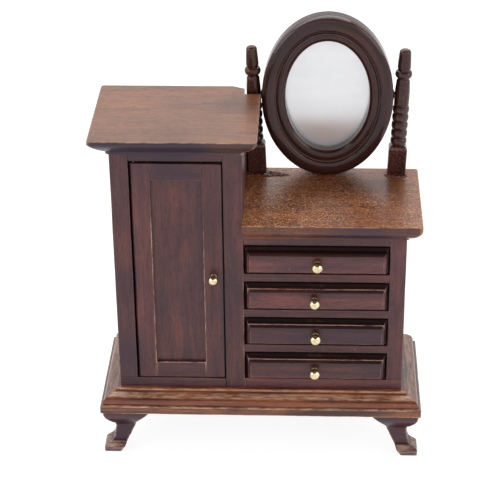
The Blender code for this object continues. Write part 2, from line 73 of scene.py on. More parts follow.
def camera():
    data = bpy.data.cameras.new("photo_view")
    data.lens = VIEW_LENS
    data.sensor_width = 36
    data.clip_start = 0.01
    shot = put("photo_view", data)
    yaw = Matrix.Rotation(radians(VIEW_YAW), 4, "Z")
    tilt = Matrix.Rotation(radians(90 - VIEW_DOWN), 4, "X")
    roll = Matrix.Rotation(radians(-VIEW_ROLL), 4, "Z")
    shot.matrix_world = Matrix.Translation(VIEW_FROM) @ (yaw @ tilt) @ roll
    bpy.context.scene.camera = shot


def softbox(name, place, target, size, power):
    data = bpy.data.lights.new(name, "AREA")
    data.shape = "RECTANGLE"
    data.size, data.size_y = size
    data.energy = power
    lamp = put(name, data)
    lamp.location = place
    lamp.rotation_euler = (Vector(target) - Vector(place)).to_track_quat("-Z", "Y").to_euler()


def studio():
    """A white light table, a surround that is bright low down and dim overhead, and softboxes."""
    world = bpy.data.worlds.new("surround")
    bpy.context.scene.world = world
    world.use_nodes = True
    tree = Tree(world.node_tree)
    direction = tree.add("ShaderNodeTexCoord").outputs["Generated"]
    height = tree.add("ShaderNodeSeparateXYZ", {"Vector": direction}).outputs["Z"]
    sky = tree.ramp(height, [(0.0, 0.75), (0.2, 0.8), (0.4, 1.0), (0.56, 0.9), (0.8, 0.07)])
    surround = tree.add("ShaderNodeBackground", {"Color": sky, "Strength": SKY_STRENGTH})
    tree.add("ShaderNodeOutputWorld", {"Surface": surround.outputs[0]})

    bpy.ops.mesh.primitive_plane_add(size=8, location=(0, 0, 0))
    floor = bpy.context.object
    floor.name = "studio_floor"
    paper = Tree.material("floor_paper")
    grain = paper.noise(paper.add("ShaderNodeTexCoord").outputs["Object"], 900, 2)
    tint = paper.ramp(grain, [(0.3, 0.26), (0.7, 0.28)])
    paper.finish({"Base Color": tint, "Roughness": 0.9, "Specular IOR Level": 0.1,
                  "Emission Color": (1, 1, 1, 1), "Emission Strength": PAPER_GLOW})
    floor.data.materials.append(paper.owner)

    softbox("softbox_left", (-0.8, -0.35, 0.45), (0, 0, 0.07), (0.5, 0.5), 2.0)
    softbox("softbox_right", (0.8, -0.3, 0.45), (0, 0, 0.07), (0.5, 0.5), 1.6)
    softbox("softbox_back", (-0.1, 0.5, 0.87), (0, 0, 0.07), (1.3, 0.75), 8.5)


# --- Node trees ---

class Tree:
    """A node tree that is filled by short calls. An input that is a socket is linked."""

    def __init__(self, tree, owner=None):
        self.tree, self.owner = tree, owner
        tree.nodes.clear()

    @classmethod
    def material(cls, name):
        material = bpy.data.materials.new(name)
        material.use_nodes = True
        return cls(material.node_tree, material)

    def add(self, kind, inputs=None, **settings):
        node = self.tree.nodes.new(kind)
        for key, value in settings.items():
            setattr(node, key, value)
        for key, value in (inputs or {}).items():
            if isinstance(value, bpy.types.NodeSocket):
                self.tree.links.new(value, node.inputs[key])
            else:
                node.inputs[key].default_value = value
        return node

    def attribute(self, name, output="Fac"):
        return self.add("ShaderNodeAttribute", attribute_name=name).outputs[output]

    def stretch(self, vector, scale):
        inputs = {0: vector, 1: scale}
        return self.add("ShaderNodeVectorMath", inputs, operation="MULTIPLY").outputs["Vector"]

    def noise(self, vector, scale=1.0, detail=2.0, rough=0.5, distortion=0.0):
        inputs = {"Vector": vector, "Scale": scale, "Detail": detail, "Roughness": rough,
                  "Distortion": distortion}
        return self.add("ShaderNodeTexNoise", inputs).outputs["Fac"]

    def ramp(self, factor, stops):
        node = self.add("ShaderNodeValToRGB", {"Fac": factor})
        elements = node.color_ramp.elements
        while len(elements) < len(stops):
            elements.new(0.5)
        for element, (position, colour) in zip(elements, stops):
            element.position = position
            colour = colour if isinstance(colour, tuple) else (colour, colour, colour)
            element.color = (*colour, 1)
        return node.outputs["Color"]

    def mix(self, factor, a, b, blend="MIX"):
        a, b = ((*c, 1) if isinstance(c, tuple) else c for c in (a, b))
        inputs = {0: factor, 6: a, 7: b}
        return self.add("ShaderNodeMix", inputs, data_type="RGBA", blend_type=blend).outputs[2]

    def math(self, operation, a, b=0.0, clamp=False):
        node = self.add("ShaderNodeMath", {0: a, 1: b}, operation=operation, use_clamp=clamp)
        return node.outputs[0]

    def bump(self, height, strength, distance, below=None):
        inputs = {"Height": height, "Strength": strength, "Distance": distance}
        if below is not None:
            inputs["Normal"] = below
        return self.add("ShaderNodeBump", inputs).outputs["Normal"]

    def finish(self, inputs):
        shader = self.add("ShaderNodeBsdfPrincipled", inputs)
        self.add("ShaderNodeOutputMaterial", {"Surface": shader.outputs[0]})
        return self.owner


# --- Materials ---

POOLED_STAIN_AND_SHADE = (0.010, 0.004, 0.004)          # stain and varnish gathered in inner corners, also painted shade in corners, gaps and on bevels
COLD = (0.040, 0.016, 0.036)            # stain that has dried to a dark purple
DUST = (0.62, 0.56, 0.52)


def stained_wood(name, deep, warm, worn, wear=0.6, rough=(0.26, 0.42), fibre=0.45, pores=0.45,
                 cold=0.5, flecks_and_glints=0.0, coat=0.08, shine=0.38, pooled_and_shade=POOLED_STAIN_AND_SHADE):
    """Stained and varnished wood. The grain attribute runs along the fibres in millimetres, edge is
    1 on a worn outer arris and on a painted highlight, and -1 where stain has gathered in inner
    corners and where shade is painted, and tone shifts the stain."""
    t = Tree.material(name)
    grain, edge, tone = t.attribute("grain", "Vector"), t.attribute("edge"), t.attribute("tone")
    bands = t.noise(t.stretch(grain, (0.035, 0.42, 0.42)), 1, 4, 0.6, 0.5)
    fibres = t.noise(t.stretch(grain, (0.14, 1.9, 1.9)), 1, 4, 0.68)
    clouds = t.noise(t.stretch(grain, (0.045, 0.1, 0.1)), 1, 4, 0.58)
    dashes = t.noise(t.stretch(grain, (0.42, 2.8, 2.8)), 1, 2, 0.5)

    base = t.mix(t.ramp(bands, [(0.36, 0.0), (0.64, 1.0)]), deep, warm)
    base = t.mix(t.ramp(clouds, [(0.46, 0.0), (0.72, cold)]), base, COLD)
    base = t.mix(fibre, base, t.ramp(fibres, [(0.3, 0.3), (0.66, 1.0)]), "MULTIPLY")
    base = t.mix(pores, base, t.ramp(dashes, [(0.36, 0.2), (0.45, 1.0)]), "MULTIPLY")
    # Pale spots in the worn colour, more where the tone is light: partly painted glints of the
    # varnish's orange-peel skin.
    if flecks_and_glints:
        sparkle = t.noise(t.stretch(grain, (1.5, 2.3, 2.3)), 1, 3, 0.7)
        share = t.math("MULTIPLY", t.ramp(sparkle, [(0.5, 0.0), (0.62, flecks_and_glints)]),
                       t.ramp(tone, [(0.5, 0.25), (0.85, 1.0)]))
        base = t.mix(share, base, worn)
    base = t.mix(t.ramp(tone, [(0.0, 1.0), (0.5, 0.0)]), base, COLD)
    base = t.mix(1.0, base, t.ramp(tone, [(0.5, 0.66), (1.0, 1.0)]), "MULTIPLY")

    # Where edge is above 0 the worn colour shows: real wear on arrises, and painted highlights on
    # the plinth's ovolo, the feet's toes, the drawers' ledges and the posts' rings.
    chips = t.noise(t.stretch(grain, (0.22, 1.1, 1.1)), 1, 4, 0.65)
    rubbed_and_lit = t.math("MULTIPLY", edge, t.ramp(chips, [(0.4, 0.1), (0.64, 1.0)]), clamp=True)
    base = t.mix(t.math("MULTIPLY", rubbed_and_lit, wear, clamp=True), base, worn)
    # Where edge is below 0 the dark colour shows: stain gathered in inner corners, and painted
    # shade on the drawers' bevels, under the rails, beside the door and on the ovolo's lower face.
    base = t.mix(t.math("MULTIPLY", edge, -1.0, clamp=True), base, pooled_and_shade)
    spots = t.stretch(grain, (0.16, 0.16, 0.16))
    specks = t.add("ShaderNodeTexVoronoi", {"Vector": spots, "Scale": 1.0})
    dust = t.ramp(specks.outputs["Distance"], [(0.016, 1.0), (0.026, 0.0)])
    base = t.mix(t.math("MULTIPLY", dust, 0.55), base, DUST)
    gloss, normal = varnish_skin(t, grain, edge, fibres, rough)
    return t.finish({"Base Color": base, "Roughness": gloss, "Normal": normal,
                     "Specular IOR Level": shine, "Coat Weight": coat, "Coat Roughness": 0.16})


def varnish_skin(t, grain, edge, fibres, rough):
    """The roughness and normal of brushed varnish: it is smooth where stain has gathered and where
    shade is painted.
    """
    gloss = t.ramp(t.noise(t.stretch(grain, (0.12, 0.3, 0.3)), 1, 4, 0.6),
                   [(0.3, rough[0]), (0.7, rough[1])])
    gloss = t.mix(t.math("MULTIPLY", edge, -0.6, clamp=True), gloss, (0.1, 0.1, 0.1))
    pull = t.noise(t.stretch(grain, (0.2, 0.4, 0.4)), 1, 3, 0.5)
    return gloss, t.bump(fibres, 0.3, 0.07 * MM, t.bump(pull, 0.5, 0.16 * MM))


def pooled_varnish(name):
    """Thick, glossy, dark red varnish with an uneven skin."""
    t = Tree.material(name)
    place = t.stretch(t.add("ShaderNodeTexCoord").outputs["Object"], (1000, 1000, 1000))
    ripples = t.noise(place, 0.9, 2, 0.5)
    depth = t.noise(place, 0.5, 3, 0.6)
    base = t.ramp(depth, [(0.35, (0.05, 0.011, 0.008)), (0.7, (0.16, 0.034, 0.018))])
    skin = t.ramp(depth, [(0.3, 0.05), (0.7, 0.1)])
    return t.finish({"Base Color": base, "Roughness": skin, "Specular IOR Level": 0.5,
                     "Normal": t.bump(ripples, 1.0, 0.9 * MM)})


def raw_wood(name, colour, dark, rough=0.62):
    """Thinly stained wood without varnish, for drawer linings and backs. It reads object space."""
    t = Tree.material(name)
    place = t.stretch(t.add("ShaderNodeTexCoord").outputs["Object"], (1000, 1000, 1000))
    fibres = t.noise(t.stretch(place, (0.16, 2.4, 2.4)), 1, 4, 0.62)
    clouds = t.noise(place, 0.09, 3, 0.55)
    base = t.mix(t.ramp(fibres, [(0.34, 0.0), (0.66, 1.0)]), dark, colour)
    base = t.mix(0.5, base, t.ramp(clouds, [(0.3, 0.6), (0.7, 1.0)]), "MULTIPLY")
    normal = t.bump(fibres, 0.4, 0.08 * MM)
    dry = t.ramp(clouds, [(0.3, rough - 0.08), (0.7, rough + 0.1)])
    return t.finish({"Base Color": base, "Roughness": dry, "Normal": normal})


NECK_SHADE_BROWN = (0.09, 0.04, 0.015)           # brown painted on a knob's neck as its shade and dark reflection


def brass(name, bright, dull, shine):
    """Lacquered brass with shallow dents. Where edge is -1, on a knob's neck, it is painted brown
    as shade and dark reflection.
    """
    t = Tree.material(name)
    place = t.add("ShaderNodeTexCoord").outputs["Object"]
    haze = t.noise(place, 900, 3, 0.6)
    scratches = t.noise(t.stretch(place, (2500, 2500, 9000)), 1, 2, 0.5)
    dents = t.noise(place, 620, 1, 0.4)
    colour = t.mix(t.ramp(haze, [(0.35, 0.0), (0.7, 1.0)]), bright, dull)
    # The neck is painted brown: shade and dark reflection.
    neck = t.math("MULTIPLY", t.attribute("edge"), -0.85, clamp=True)
    colour = t.mix(neck, colour, NECK_SHADE_BROWN)
    polish = t.ramp(haze, [(0.3, shine[0]), (0.75, shine[1])])
    normal = t.bump(scratches, 0.12, 0.03 * MM, t.bump(dents, 0.6, 0.35 * MM))
    return t.finish({"Base Color": colour, "Metallic": 1.0, "Roughness": polish, "Normal": normal})


def mirror_foil(name):
    """A slightly milky mirror that blurs what it shows."""
    t = Tree.material(name)
    place = t.add("ShaderNodeTexCoord").outputs["Object"]
    smear = t.noise(t.stretch(place, (60, 60, 160)), 1, 4, 0.6)
    colour = t.ramp(smear, [(0.3, (0.72, 0.73, 0.75)), (0.7, (0.79, 0.79, 0.81))])
    shine = t.ramp(smear, [(0.35, 0.19), (0.75, 0.23)])
    return t.finish({"Base Color": colour, "Metallic": 0.66, "Roughness": shine})


# --- Outlines and sections ---

SHARP = radians(25)             # corners that turn more than this are rounded and worn


def turn_at(before, point, after):
    """The angle that a path turns by at a point, positive to the left."""
    a, b = point - before, after - point
    return atan2(a.x * b.y - a.y * b.x, a.dot(b))


def fillet(before, point, after, radius, steps=3):
    """Points that round a corner, kept within two fifths of each side."""
    a, b = (before - point), (after - point)
    reach = min(radius, 0.4 * a.length, 0.4 * b.length)
    start, end = point + a.normalized() * reach, point + b.normalized() * reach
    points = []
    for k in range(steps + 1):
        u = k / steps
        points.append((1 - u) ** 2 * start + 2 * u * (1 - u) * point + u * u * end)
    return points


def soften(path, radius, support, outward):
    """Round the sharp corners of an open section, and say how worn each point is.
    outward is the sign of the turn that an outer arris makes."""
    path = [Vector(p) for p in path]
    result = [(path[0], 0.0)]
    for i in range(1, len(path) - 1):
        before, point, after = path[i - 1], path[i], path[i + 1]
        turn = turn_at(before, point, after)
        if abs(turn) < SHARP:
            result.append((point, 0.0))
            continue
        a, b = before - point, after - point
        outer = turn * outward > 0
        reach = min(radius + support, 0.45 * a.length)
        onward = min(radius + support, 0.45 * b.length)
        result.append((point + a.normalized() * reach, 0.0))
        if outer:
            result += [(p, 1.0) for p in fillet(before, point, after, radius)]
        else:
            # An inner corner gets -1, which paints gathered stain and shade there.
            result.append((point, -1.0))
        result.append((point + b.normalized() * onward, 0.0))
    result.append((path[-1], 0.0))
    return result


def arc(centre, radii, start, end, steps):
    """Points on an ellipse's arc, with its angles in degrees."""
    angles = [radians(start + (end - start) * k / steps) for k in range(steps + 1)]
    return [(centre[0] + radii[0] * cos(a), centre[1] + radii[1] * sin(a)) for a in angles]


def circle(turns):
    """Evenly spread angles."""
    return [2 * pi * k / turns for k in range(turns)]


def rectangle(left, near, right, far):
    return [Vector(c) for c in ((left, near), (right, near), (right, far), (left, far))]


def moved_outline(corners, shifts):
    """Shift each side of an anticlockwise outline outwards by its own distance."""
    count = len(corners)
    sides = [(corners[(i + 1) % count] - corners[i]).normalized() for i in range(count)]
    normals = [Vector((s.y, -s.x)) for s in sides]
    moved = []
    for i, corner in enumerate(corners):
        a, b, p, q = normals[i - 1], normals[i], shifts[i - 1], shifts[i]
        cross = a.x * b.y - a.y * b.x
        if abs(cross) < 1e-6:
            moved.append(corner + a * p)
        else:
            x, y = (p * b.y - q * a.y) / cross, (q * a.x - p * b.x) / cross
            moved.append(corner + Vector((x, y)))
    return moved


def outline_points(corners, counts, radius, support, square=()):
    """Points round an outline: rounded corners, a support beside each, and evenly spread between.
    The corners in square stay sharp and unworn."""
    count = len(corners)
    points = []
    for i, corner in enumerate(corners):
        before, after = corners[i - 1], corners[(i + 1) % count]
        turn = turn_at(before, corner, after)
        if abs(turn) < SHARP:
            points.append((corner, 0.0))
        elif turn > 0:
            small = min(radius, 0.08 * MM) if i in square else radius
            points += [(p, float(i not in square)) for p in fillet(before, corner, after, small)]
        else:
            # An inner corner gets -1, which paints gathered stain and shade there.
            points.append((corner, -1.0))
        length = (after - corner).length
        if counts[i] is None:
            continue
        near = min(radius + support, 0.45 * length) / length
        for k in range(counts[i] + 1):
            share = near + (1 - 2 * near) * k / counts[i]
            points.append((corner.lerp(after, share), 0.0))
    return points


def side_counts(corners, spacing):
    """How many stretches each side of an outline is divided in; None on the facets of an arc."""
    counts = []
    for i, corner in enumerate(corners):
        length = (corners[(i + 1) % len(corners)] - corner).length
        counts.append(max(1, ceil(length / spacing)) if length > 0.4 * MM else None)
    return counts


# --- Pieces ---

LEVELS = 6 * MM                 # the longest stretch of a board between two loops
SPACING = 5 * MM                # the same, between two points of a loop
KNOB_SPIGOT = 2.2 * MM          # how far a knob reaches into its drawer front
AXES = {"X": (0, 1, 2), "Y": (1, 0, 2), "Z": (2, 0, 1)}
WOBBLE = 0.06 * MM              # how far a hand-sanded face strays
WOBBLE_SIZE = 9 * MM
WOBBLE_SEED = 1                 # without it, noise_vector differs from run to run

STAIN_PATCHES = (               # centre and reach in millimetres, and depth: below 0 is lighter
    ((-46.5, -16, 36), 13, 0.32), ((-46.5, -16, 66), 9, 0.2), ((-28, -16, 108), 9, 0.15),
    ((-16, -16, 55), 8, 0.15), ((40, -18, 30), 10, 0.15), ((4, -13, 91), 19, -0.4),
    ((45, -16, 78), 6, -0.3), ((-52, -23, 20), 8, -0.2), ((-48, -16, 122), 14, 0.1),
    ((-9, 8, 122), 9, 0.35), ((42, 10, 91), 8, 0.15), ((40, -8, 91), 12, -0.1),
    ((-30, -20, 122), 13, 0.2))

# Boxes in millimetres, and how worn the arrises in them are. Below 0 they are painted dark as
# shade, which makes the gap by the door's closing edge look wider.
RUBBED_AND_SHADED = (
    ((-37.4, -20, 33), (-35.4, -12, 97), 1.35), ((-19.8, -20, 30), (-18.4, -12, 87), 1.15),
    ((-36.2, -20, 33.9), (-19, -12, 34.7), 1.0), ((-13.1, -20, 24), (-11.3, -12, 113), -0.9),
    ((-6.8, -20, 24), (-5.2, -12, 80), 0.6))
LITTLE_RUBBED = 0.12            # the other arrises of the carcass, door and drawer boxes


def case_wear_and_shade(place):
    """How worn an arris at a place is: little, except round the door's panel and the partition, and
    painted dark as shade beside the door's closing edge.
    """
    for low, high, amount in RUBBED_AND_SHADED:
        if all(a * MM <= p <= b * MM for a, p, b in zip(low, place, high)):
            return amount
    return LITTLE_RUBBED


def seed_of(name):
    return random.Random(zlib.crc32(name.encode()))


def piece(name, loops, material, body, nodes, grain="Z", tone=0.5, ring=False, wobble=WOBBLE,
          crease=50, rub_and_shade=None):
    """Join loops of (point, wear) into a closed mesh that stands for CAD nodes and rides a body.
    A given function of the place scales the wear of its arrises; where it gives less than 0, they
    are painted dark as shade."""
    count = len(loops[0])
    points, wear = [], []
    for loop in loops:
        for place, amount in loop:
            stray = noise.noise_vector(place / WOBBLE_SIZE) * wobble
            points.append(place + stray)
            wear.append(amount)
    pairs = list(zip(range(len(loops)), range(1, len(loops))))
    if ring:
        pairs.append((len(loops) - 1, 0))
    faces = []
    for a, b in pairs:
        for i in range(count):
            j = (i + 1) % count
            faces.append((a * count + i, a * count + j, b * count + j, b * count + i))
    if not ring:
        faces.append(tuple(range(count - 1, -1, -1)))
        faces.append(tuple(range((len(loops) - 1) * count, len(loops) * count)))
    mesh = bpy.data.meshes.new(name)
    mesh.from_pydata(points, [], faces)
    outwards(mesh)
    mesh.shade_smooth()
    mesh.set_sharp_from_angle(angle=radians(crease))
    if rub_and_shade:
        # A factor below 0 turns an arris's wear into painted shade.
        wear = [w * rub_and_shade(v.co) if w > 0 else w for w, v in zip(wear, mesh.vertices)]
    mark(mesh, name, wear, grain, tone)
    mesh.materials.append(material)
    obj = put(name, mesh)
    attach(obj, body)
    if nodes:
        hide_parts(*nodes)


def outwards(mesh):
    """Turn the faces outwards if the mesh encloses a negative volume."""
    volume = 0.0
    for polygon in mesh.polygons:
        place = [mesh.vertices[i].co for i in polygon.vertices]
        for k in range(1, len(place) - 1):
            volume += place[0].dot(place[k].cross(place[k + 1]))
    if volume < 0:
        mesh.flip_normals()


def stained(place, tone):
    """The tone at a place: it drifts slowly, and strays where the stain has dried unevenly.
    tone is a number or a function of the place."""
    base = tone(place) if callable(tone) else tone
    drift = 0.2 * noise.noise(place / (20 * MM))
    for centre, reach, depth in STAIN_PATCHES:
        fade = max(0.0, 1 - (place - Vector(centre) * MM).length / (reach * MM))
        drift -= depth * min(1.0, 2 * fade)
    return min(1.0, max(0.0, base + drift))


def mark(mesh, name, wear, grain, tone):
    """Store what the wood materials read: wear with painted highlights and shade, tone, and the
    place along and across the grain.
    grain is the axis that the fibres follow, or a function of a place in millimetres."""
    dice = seed_of(name)
    shift = Vector((dice.uniform(-90, 90), dice.uniform(-90, 90), dice.uniform(-90, 90)))
    if not callable(grain):
        along, across, third = AXES[grain]
    edge = mesh.attributes.new("edge", "FLOAT", "POINT")
    shade = mesh.attributes.new("tone", "FLOAT", "POINT")
    fibre = mesh.attributes.new("grain", "FLOAT_VECTOR", "POINT")
    for i, vertex in enumerate(mesh.vertices):
        edge.data[i].value = wear[i]
        shade.data[i].value = stained(vertex.co, tone)
        place = vertex.co / MM
        if callable(grain):
            fibre.data[i].vector = shift + grain(place)
        else:
            fibre.data[i].vector = shift + Vector((place[along] + 0.03 * place[across],
                                                   place[across], place[third]))


def loft(outline, section, radius, support, spacing, place, square=()):
    """Loops of an outline that follows a section of (outward shifts, height, wear). The section
    starts and ends on flat faces, two points each, which the outline's worn corners don't reach."""
    counts = side_counts(outline, spacing)
    loops = []
    for k, (shifts, height, amount) in enumerate(section):
        moved = moved_outline(outline, shifts)
        ring = outline_points(moved, counts, radius, support, square)
        side = 1.0 if 2 <= k < len(section) - 2 else 0.0
        loops.append([(place(p.x, p.y, height), extreme(amount, worn * side)) for p, worn in ring])
    return loops


def extreme(a, b):
    return a if abs(a) >= abs(b) else b


def flat_section(low, high, sides, radius, support, deepest):
    """The section of a plain board: rounded arrises, with flat faces that reach inwards."""
    inset = min(radius + 2.2 * support, deepest)
    path = [(-inset, low), (0, low), (0, high), (-inset, high)]
    section = [([p.x] * sides, p.y, w) for p, w in soften(path, radius, support, 1)]
    middle = len(section) // 2
    (shifts, start, _), (_, end, _) = section[middle - 1], section[middle]
    steps = ceil((end - start) / LEVELS)
    between = [(shifts, start + (end - start) * k / steps, 0.0) for k in range(1, steps)]
    return section[:middle] + between + section[middle:]


def upright(x, y, z):
    return Vector((x, y, z))


def frontal(x, z, y):
    """For outlines seen from the front, lofted along the depth."""
    return Vector((x, y, z))


def body_of(node):
    return next(body for body, names in BODIES.items() if node in names)


def joined_box(node):
    """A board's box, with each glued face moved half way to its neighbour."""
    low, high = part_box(node)
    low, high = low.copy(), high.copy()
    for other in BODIES[body_of(node)]:
        if other == node:
            continue
        o_low, o_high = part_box(other)
        for axis in range(3):
            rest = [k for k in range(3) if k != axis]
            if any(o_high[k] < low[k] + 0.2 * MM or o_low[k] > high[k] - 0.2 * MM for k in rest):
                continue
            above, below = o_low[axis] - high[axis], low[axis] - o_high[axis]
            if 0.05 * MM < above < GLUE_REACH:
                high[axis] += above / 2
            if 0.05 * MM < below < GLUE_REACH:
                low[axis] -= below / 2
    return low, high


def board(node, material, grain, tone=0.5, radius=0.22 * MM, support=0.14 * MM, box=None,
          rub_and_shade=case_wear_and_shade):
    """A plain board in a CAD node's place, with rounded arrises."""
    low, high = box or joined_box(node)
    shape = rectangle(low.x, low.y, high.x, high.y)
    thinnest = min(high.x - low.x, high.y - low.y)
    section = flat_section(low.z, high.z, 4, radius, support, 0.4 * thinnest)
    loops = loft(shape, section, radius, support, SPACING, upright)
    piece(f"{node}_board", loops, material, body_of(node), [node], grain, tone, rub_and_shade=rub_and_shade)


LOWER_ARRIS = 0.6 * MM          # the height of the band painted dark as shade


def painted_shade_below(node):
    """The lower arrises of a board over an opening are painted dark as shade, which makes the gap
    under it look wider.
    """
    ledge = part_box(node)[0].z + LOWER_ARRIS
    return lambda place: -1.0 if place.z < ledge else LITTLE_RUBBED


# --- Plinth and feet ---

def plinth_path():
    """The moulding's section: distance in front of the carcass, and height above the legs."""
    ovolo = arc((2.5, 3.4), (3.4, 2.4), 0, 90, 10)
    return [(0, 0), (6.8, 0), (6.8, 2.8), (6.45, 3.0), (5.9, 3.0), *ovolo,
            (2.1, 6.0), (1.7, 6.1), (1.7, 6.8), (1.4, 7.0), (0, 7.0)]


def plinth_wear_sheen_and_shade(p, worn):
    """A pale band in the worn colour is painted on the ovolo's upward part as its sheen, and the
    forward part below it is painted dark as shade. Other points keep their wear.
    """
    if worn == 0 and p.x < 5.3 and 5.1 < p.y < 5.9:
        return 1.1
    if worn == 0 and 5.0 < p.x < 5.95 and 3.3 < p.y < 4.9:
        return -0.55
    return worn


SLAB_HEIGHT = 3.2 * MM          # the plinth's plain part, under the ovolo
FRONT_STATIONS, SIDE_STATIONS = 24, 10


def plinth(material):
    low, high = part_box("plinth_moulding_front")
    body_low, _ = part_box("cupboard_bottom")
    z0 = low.z - GLUE_REACH / 2
    lift = (high.z - low.z + GLUE_REACH) / (high.z - low.z)
    section = [(p * MM, plinth_wear_sheen_and_shade(p, w)) for p, w in soften(plinth_path(), 0.22, 0.15, 1)]
    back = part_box("plinth_moulding_left")[1].y

    def station(side, p):
        return Vector((side * (p.x - body_low.x), body_low.y - p.x, z0 + p.y * lift))

    def tone(slab, moulding):
        return lambda place: slab if place.z < z0 + SLAB_HEIGHT else moulding
    loops = [[(station(-1, p).lerp(station(1, p), k / FRONT_STATIONS), w) for p, w in section]
             for k in range(FRONT_STATIONS + 1)]
    piece("plinth_moulding_front_strip", loops, material, "carcass", ["plinth_moulding_front"],
          "X", tone(0.54, 0.95))
    for side, label, faded in ((-1, "left", 0.3), (1, "right", 0.5)):
        loops = []
        for k in range(SIDE_STATIONS + 1):
            ring = [(station(side, p), w * faded if w > 0 else w) for p, w in section]
            loops.append([(Vector((p.x, p.y + (back - p.y) * k / SIDE_STATIONS, p.z)), w)
                          for p, w in ring])
        node = f"plinth_moulding_{label}"
        piece(f"{node}_strip", loops, material, "carcass", [node], "Y",
              tone(0.3, 0.45))


def bezier(p0, p1, p2, p3, steps):
    """Points along a cubic curve, without its first point."""
    points = []
    for k in range(1, steps + 1):
        t = k / steps
        weights = ((1 - t) ** 3, 3 * t * (1 - t) ** 2, 3 * t * t * (1 - t), t ** 3)
        points.append(tuple(sum(w * p[axis] for w, p in zip(weights, (p0, p1, p2, p3)))
                            for axis in (0, 1)))
    return points


def at_height(line, height):
    """Where a line of (distance, height) points that runs downwards is at a height."""
    for (d0, h0), (d1, h1) in zip(line, line[1:]):
        if h1 <= height <= h0:
            return d0 + (d1 - d0) * (h0 - height) / max(h0 - h1, 1e-9)
    return line[-1][0] if height < line[-1][1] else line[0][0]


TOE_HIGHLIGHT_BAND = (2.0, 3.3)            # the band, in millimetres above the ground, where the toe's upward top is painted with a highlight
TOE_HIGHLIGHT = 1.1


def foot(label, side, end, material):
    """An ogee foot. Its section is a square at every height, between an outer and an inner line."""
    knee = bezier((0.1, 15.6), (0.4, 13.9), (1.3, 12.6), (2.5, 11.2), 8)
    neck = bezier((2.5, 11.2), (3.1, 10.2), (4.4, 10.4), (3.9, 7.2), 10)
    toe = bezier((3.5, 5.4), (3.3, 3.2), (1.9, 3.2), (0.4, 2.5), 8)
    outer = [(0.0, 16.85), (0.1, 15.6), *knee, *neck, (3.5, 5.4), *toe,
             (0.1, 2.1), (0.1, 0.35), (0.4, 0)]
    bracket = bezier((11.5, 11.0), (12.8, 13.2), (14.9, 14.8), (16.8, 16.85), 8)
    inner = [*reversed(bracket), (11.5, 11.0), (11.1, 9.2), (9.2, 5.2), (6.9, 1.4), (5.8, 0)]
    low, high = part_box(f"foot_{label}")
    corner = Vector((low.x if side < 0 else high.x, low.y if end < 0 else high.y))
    heights = sorted({round(h, 3) for _, h in outer} | {14.0, 4.6})
    loops = []
    for h in heights:
        near, far = at_height(outer, h) * MM, at_height(inner, h) * MM
        xs = sorted((corner.x - side * near, corner.x - side * far))
        ys = sorted((corner.y - end * near, corner.y - end * far))
        shape = rectangle(xs[0], ys[0], xs[1], ys[1])
        ring = outline_points(shape, [3] * 4, 0.35 * MM, 0.2 * MM)
        # The toe's upward top gets a painted highlight in the worn colour.
        worn = TOE_HIGHLIGHT if TOE_HIGHLIGHT_BAND[0] < h < TOE_HIGHLIGHT_BAND[1] else 0.0
        loops.append([(Vector((p.x, p.y, h * MM)), extreme(w, worn)) for p, w in ring])
    piece(f"foot_{label}_ogee", loops, material, "carcass", [f"foot_{label}"], "X",
          0.22)


# --- Carcass and tops ---

def carcass(case):
    for node, grain, tone in (
            ("cupboard_side", "Z", 0.5), ("partition", "Z", 0.5), ("case_side", "Z", 0.7),
            ("cupboard_bottom", "X", 0.6), ("case_bottom", "X", 0.95), ("base_board", "X", 0.4)):
        board(node, case, grain, tone)
    for node, tone in (("cupboard_top_rail", 0.32), ("case_top_rail", 0.45),
                       ("drawer_divider_1", 0.55), ("drawer_divider_2", 0.62),
                       ("drawer_divider_3", 0.55)):
        board(node, case, "X", tone, rub_and_shade=painted_shade_below(node))


FLAT_RINGS = (0.12, 0.3, 0.48, 0.66, 0.84)  # loops within a top's flat, for its stains
TOP_CORNER = 0.9 * MM           # the radius of a top's free corners
FLAT_DEPTH = 0.12 * MM
UNWORN_BELOW = -5               # millimetres below the flat: lower arrises are sharp and clean


def top_board(node, outline, moulded, path, material, flat_tone, edge_tone, square):
    """A top with a moulded edge. moulded gives each side's share of the moulding's projection. The
    flat has a lighter tone than the edges. square lists the corners that fit another board."""
    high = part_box(node)[1]
    section = []
    for p, w in soften(path, 0.24, 0.12, -1):
        shifts = [p.x * MM * share for share in moulded] if p.x > 0 else [p.x * MM] * len(outline)
        section.append((shifts, high.z + p.y * MM, w if p.y > UNWORN_BELOW else min(w, 0.0)))
    loops = loft(outline, section, TOP_CORNER, 0.2 * MM, SPACING, upright, square)
    rim = loops[0]
    middle = sum((p for p, _ in rim), Vector()) / len(rim)
    loops = [[(middle.lerp(p, share), 0.0) for p, _ in rim] for share in FLAT_RINGS] + loops

    def tone(place):
        return flat_tone if place.z > high.z - FLAT_DEPTH else edge_tone
    piece(f"{node}_board", loops, material, "carcass", [node], "X", tone,
          wobble=WOBBLE / 2)


NOTCH_DEPTH, NOTCH_AHEAD = 0.3 * MM, 3.6 * MM   # the cornice's notch, before the left post's axis
BEVEL_X, BEVEL_Y = 4 * MM, 2 * MM               # its bevelled back corner


